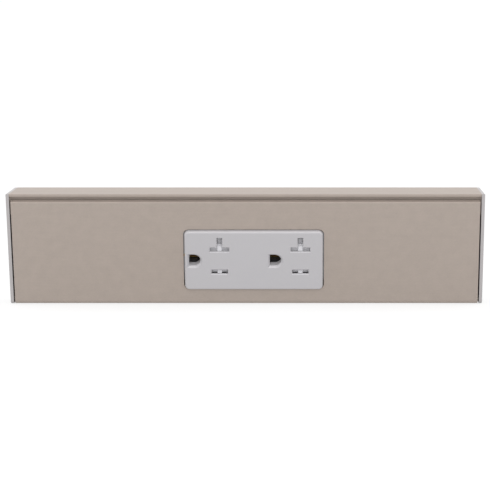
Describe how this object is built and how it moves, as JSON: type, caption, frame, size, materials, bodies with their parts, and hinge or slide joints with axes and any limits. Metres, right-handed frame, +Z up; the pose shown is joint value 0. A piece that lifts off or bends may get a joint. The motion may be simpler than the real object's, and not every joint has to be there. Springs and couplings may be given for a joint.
{
  "type": "under-cabinet power strip",
  "caption": "Wedge-shaped under-cabinet power strip with a slanted metal cover, plastic end caps and a duplex T-slot receptacle set into the face.",
  "frame": {"origin": "middle of the top face, the flat face that lies against the underside of the cabinet", "axes": "+X along the strip, to the right as seen from the front; +Y towards the wall, the slanted front faces -Y; +Z up"},
  "size_m": [0.2286, 0.0598, 0.0548],
  "materials": {
    "satin_paint": "satin",
    "cap_plastic": "fine texture",
    "device_plastic": "smooth satin",
    "shutter_plastic": "smooth",
    "platform_plastic": "moulded",
    "body_plastic": "moulded",
    "zinc_steel": "zinc plated",
    "spring_steel": "drawn wire",
    "contact_brass": "rolled strip",
    "brass_screw": "turned",
    "silver_screw": "nickel plated",
    "green_screw": "green dyed",
    "black_jacket": "extruded",
    "white_jacket": "extruded",
    "green_jacket": "extruded",
    "yellow_cap": "moulded",
    "red_cap": "moulded",
    "green_cap": "moulded",
    "bushing_plastic": "moulded",
    "copper": "drawn wire"
  },
  "bodies": {
    "strip": {"housing": "satin_paint", "front_cover": "satin_paint", "end_cap_left": "cap_plastic", "end_cap_right": "cap_plastic", "end_cap_screws_left": "zinc_steel", "end_cap_screws_right": "zinc_steel", "cover_screws": "zinc_steel", "receptacle_face": "device_plastic", "shutter_springs_left": "spring_steel", "shutter_springs_right": "spring_steel", "shutter_platform": "platform_plastic", "receptacle_strap": "zinc_steel", "receptacle_body": "body_plastic", "assembly_screws": "zinc_steel", "neutral_contact": "contact_brass", "hot_contact": "contact_brass", "ground_contact": "contact_brass", "ground_rivet": "contact_brass", "neutral_terminal_screws": "silver_screw", "hot_terminal_screws": "brass_screw", "neutral_clamp_plates": "silver_screw", "hot_clamp_plates": "contact_brass", "ground_clamp_plate": "zinc_steel", "ground_terminal_screw": "green_screw", "bond_clamp_plate": "zinc_steel", "bond_screw": "green_screw", "connector_white": "yellow_cap", "connector_black": "red_cap", "connector_green": "green_cap", "white_lead": "white_jacket", "black_lead": "black_jacket", "green_lead": "green_jacket", "bond_lead": "green_jacket", "white_core": "copper", "black_core": "copper", "green_core": "copper", "bond_core": "copper", "cover_studs": "zinc_steel", "stud_spacers": "zinc_steel", "lock_washers": "zinc_steel", "strap_nuts": "zinc_steel", "cable_connector": "bushing_plastic"},
    "shutter_left": {"shutter_left": "shutter_plastic"},
    "shutter_right": {"shutter_right": "shutter_plastic"}
  },
  "joints": [
    {"name": "shutter_left_slide", "type": "slide", "parent": "strip", "child": "shutter_left", "axis": [0, 0.4848, -0.8746], "range_m": [0, 0.00795], "stiffness_N_per_m": 90, "springref_m": -0.004, "deforming": ["shutter_springs_left"]},
    {"name": "shutter_right_slide", "type": "slide", "parent": "strip", "child": "shutter_right", "axis": [0, 0.4848, -0.8746], "range_m": [0, 0.00795], "stiffness_N_per_m": 90, "springref_m": -0.004, "deforming": ["shutter_springs_right"]}
  ]
}
